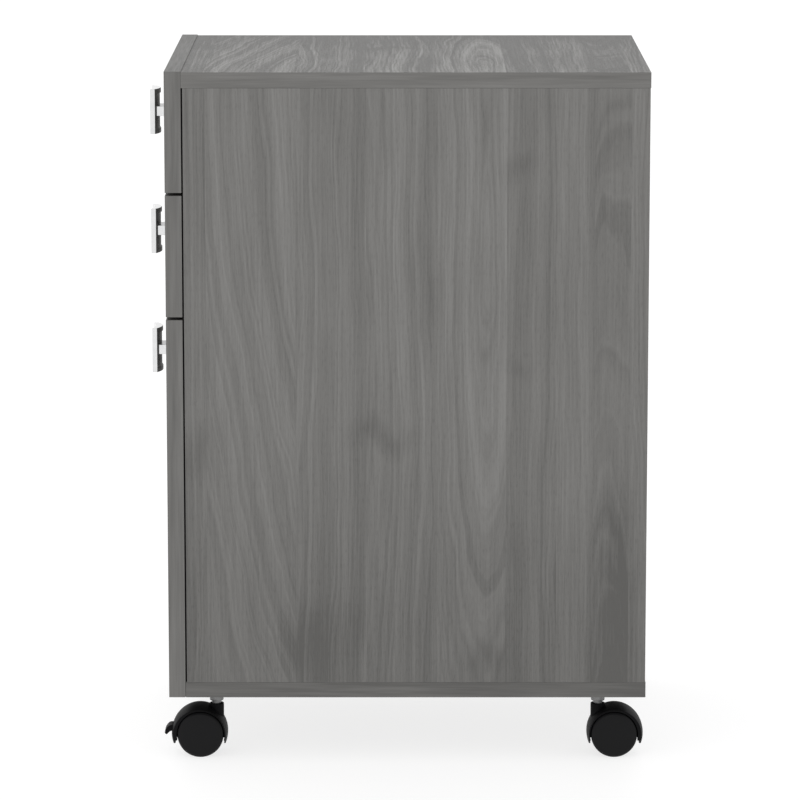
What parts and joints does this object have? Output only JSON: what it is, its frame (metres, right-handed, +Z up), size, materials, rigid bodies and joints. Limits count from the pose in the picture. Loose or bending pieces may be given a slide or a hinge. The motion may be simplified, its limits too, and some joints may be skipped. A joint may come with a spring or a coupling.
{
  "type": "rolling pedestal cabinet",
  "caption": "Grey wood-look under-desk pedestal cabinet with shallow drawers above a file drawer, small bright bar pulls and hooded swivel casters with brakes.",
  "frame": {"origin": "on the floor under the middle of the overall bounding box", "axes": "+Z up, -Y towards the drawer fronts, +X to the right seen from the front"},
  "size_m": [0.399, 0.518, 0.7208],
  "materials": {
    "laminate": "satin grey wood-look laminate with matching edge band",
    "drawer_board": "matte pale grey melamine board",
    "hardboard": "matte pale grey faced hardboard",
    "slide_steel": "zinc-plated rolled steel",
    "rail_steel": "satin black powder coat",
    "chrome": "polished bright nickel plate",
    "stem_steel": "zinc-plated steel",
    "caster_plastic": "satin black moulded nylon",
    "wheel_plastic": "satin black moulded nylon"
  },
  "bodies": {
    "cabinet": {"top_panel": "laminate", "bottom_panel": "laminate", "left_side_panel": "laminate", "right_side_panel": "laminate", "back_panel": "laminate", "top_left_slide_cabinet_member": "slide_steel", "top_right_slide_cabinet_member": "slide_steel", "middle_left_slide_cabinet_member": "slide_steel", "middle_right_slide_cabinet_member": "slide_steel", "file_left_slide_cabinet_member": "slide_steel", "file_right_slide_cabinet_member": "slide_steel", "front_left_caster_stem": "stem_steel", "rear_left_caster_stem": "stem_steel", "front_right_caster_stem": "stem_steel", "rear_right_caster_stem": "stem_steel"},
    "top_drawer": {"top_drawer_front": "laminate", "top_drawer_left_side": "drawer_board", "top_drawer_right_side": "drawer_board", "top_drawer_back": "drawer_board", "top_drawer_bottom": "hardboard", "top_drawer_handle": "chrome", "top_left_slide_drawer_member": "slide_steel", "top_right_slide_drawer_member": "slide_steel"},
    "middle_drawer": {"middle_drawer_front": "laminate", "middle_drawer_left_side": "drawer_board", "middle_drawer_right_side": "drawer_board", "middle_drawer_back": "drawer_board", "middle_drawer_bottom": "hardboard", "middle_drawer_handle": "chrome", "middle_left_slide_drawer_member": "slide_steel", "middle_right_slide_drawer_member": "slide_steel"},
    "file_drawer": {"file_drawer_front": "laminate", "file_drawer_left_side": "drawer_board", "file_drawer_right_side": "drawer_board", "file_drawer_back": "drawer_board", "file_drawer_bottom": "hardboard", "file_drawer_handle": "chrome", "file_left_slide_drawer_member": "slide_steel", "file_right_slide_drawer_member": "slide_steel", "hanging_file_rail": "rail_steel"},
    "file_left_middle_member": {"file_left_slide_middle_member": "slide_steel"},
    "file_right_middle_member": {"file_right_slide_middle_member": "slide_steel"},
    "front_left_caster_swivel": {"front_left_caster_housing": "caster_plastic", "front_left_caster_axle": "stem_steel"},
    "front_left_caster_left_wheel_body": {"front_left_caster_left_wheel": "wheel_plastic"},
    "front_left_caster_right_wheel_body": {"front_left_caster_right_wheel": "wheel_plastic"},
    "front_left_caster_brake": {"front_left_caster_brake_lever": "caster_plastic"},
    "rear_left_caster_swivel": {"rear_left_caster_housing": "caster_plastic", "rear_left_caster_axle": "stem_steel"},
    "rear_left_caster_left_wheel_body": {"rear_left_caster_left_wheel": "wheel_plastic"},
    "rear_left_caster_right_wheel_body": {"rear_left_caster_right_wheel": "wheel_plastic"},
    "front_right_caster_swivel": {"front_right_caster_housing": "caster_plastic", "front_right_caster_axle": "stem_steel"},
    "front_right_caster_left_wheel_body": {"front_right_caster_left_wheel": "wheel_plastic"},
    "front_right_caster_right_wheel_body": {"front_right_caster_right_wheel": "wheel_plastic"},
    "front_right_caster_brake": {"front_right_caster_brake_lever": "caster_plastic"},
    "rear_right_caster_swivel": {"rear_right_caster_housing": "caster_plastic", "rear_right_caster_axle": "stem_steel"},
    "rear_right_caster_left_wheel_body": {"rear_right_caster_left_wheel": "wheel_plastic"},
    "rear_right_caster_right_wheel_body": {"rear_right_caster_right_wheel": "wheel_plastic"}
  },
  "joints": [
    {"name": "top_drawer_slide", "type": "slide", "parent": "cabinet", "child": "top_drawer", "axis": [0, -1, 0], "range_m": [0, 0.33]},
    {"name": "middle_drawer_slide", "type": "slide", "parent": "cabinet", "child": "middle_drawer", "axis": [0, -1, 0], "range_m": [0, 0.33]},
    {"name": "file_drawer_slide", "type": "slide", "parent": "cabinet", "child": "file_drawer", "axis": [0, -1, 0], "range_m": [0, 0.42]},
    {"name": "file_left_middle_slide", "type": "slide", "parent": "cabinet", "child": "file_left_middle_member", "axis": [0, -1, 0], "range_m": [0, 0.21]},
    {"name": "file_right_middle_slide", "type": "slide", "parent": "cabinet", "child": "file_right_middle_member", "axis": [0, -1, 0], "range_m": [0, 0.21]},
    {"name": "front_left_caster_swivel_joint", "type": "hinge", "parent": "cabinet", "child": "front_left_caster_swivel", "pos_m": [-0.1565, -0.1875, 0.062], "axis": [0, 0, 1], "continuous": true},
    {"name": "front_left_caster_left_wheel_spin", "type": "hinge", "parent": "front_left_caster_swivel", "child": "front_left_caster_left_wheel_body", "pos_m": [-0.1565, -0.204, 0.02408], "axis": [1, 0, 0], "continuous": true},
    {"name": "front_left_caster_right_wheel_spin", "type": "hinge", "parent": "front_left_caster_swivel", "child": "front_left_caster_right_wheel_body", "pos_m": [-0.1565, -0.204, 0.02408], "axis": [1, 0, 0], "continuous": true},
    {"name": "front_left_caster_brake_hinge", "type": "hinge", "parent": "front_left_caster_swivel", "child": "front_left_caster_brake", "pos_m": [-0.1565, -0.223, 0.02708], "axis": [1, 0, 0], "range_deg": [0, 15]},
    {"name": "rear_left_caster_swivel_joint", "type": "hinge", "parent": "cabinet", "child": "rear_left_caster_swivel", "pos_m": [-0.1565, 0.2115, 0.062], "axis": [0, 0, 1], "continuous": true},
    {"name": "rear_left_caster_left_wheel_spin", "type": "hinge", "parent": "rear_left_caster_swivel", "child": "rear_left_caster_left_wheel_body", "pos_m": [-0.1565, 0.228, 0.02408], "axis": [1, 0, 0], "continuous": true},
    {"name": "rear_left_caster_right_wheel_spin", "type": "hinge", "parent": "rear_left_caster_swivel", "child": "rear_left_caster_right_wheel_body", "pos_m": [-0.1565, 0.228, 0.02408], "axis": [1, 0, 0], "continuous": true},
    {"name": "front_right_caster_swivel_joint", "type": "hinge", "parent": "cabinet", "child": "front_right_caster_swivel", "pos_m": [0.1565, -0.1875, 0.062], "axis": [0, 0, 1], "continuous": true},
    {"name": "front_right_caster_left_wheel_spin", "type": "hinge", "parent": "front_right_caster_swivel", "child": "front_right_caster_left_wheel_body", "pos_m": [0.1565, -0.204, 0.02408], "axis": [1, 0, 0], "continuous": true},
    {"name": "front_right_caster_right_wheel_spin", "type": "hinge", "parent": "front_right_caster_swivel", "child": "front_right_caster_right_wheel_body", "pos_m": [0.1565, -0.204, 0.02408], "axis": [1, 0, 0], "continuous": true},
    {"name": "front_right_caster_brake_hinge", "type": "hinge", "parent": "front_right_caster_swivel", "child": "front_right_caster_brake", "pos_m": [0.1565, -0.223, 0.02708], "axis": [1, 0, 0], "range_deg": [0, 15]},
    {"name": "rear_right_caster_swivel_joint", "type": "hinge", "parent": "cabinet", "child": "rear_right_caster_swivel", "pos_m": [0.1565, 0.2115, 0.062], "axis": [0, 0, 1], "continuous": true},
    {"name": "rear_right_caster_left_wheel_spin", "type": "hinge", "parent": "rear_right_caster_swivel", "child": "rear_right_caster_left_wheel_body", "pos_m": [0.1565, 0.228, 0.02408], "axis": [1, 0, 0], "continuous": true},
    {"name": "rear_right_caster_right_wheel_spin", "type": "hinge", "parent": "rear_right_caster_swivel", "child": "rear_right_caster_right_wheel_body", "pos_m": [0.1565, 0.228, 0.02408], "axis": [1, 0, 0], "continuous": true}
  ],
  "couplings": [
    {"joint": "file_left_middle_slide", "follows": "file_drawer_slide", "ratio": 0.5},
    {"joint": "file_right_middle_slide", "follows": "file_drawer_slide", "ratio": 0.5}
  ]
}
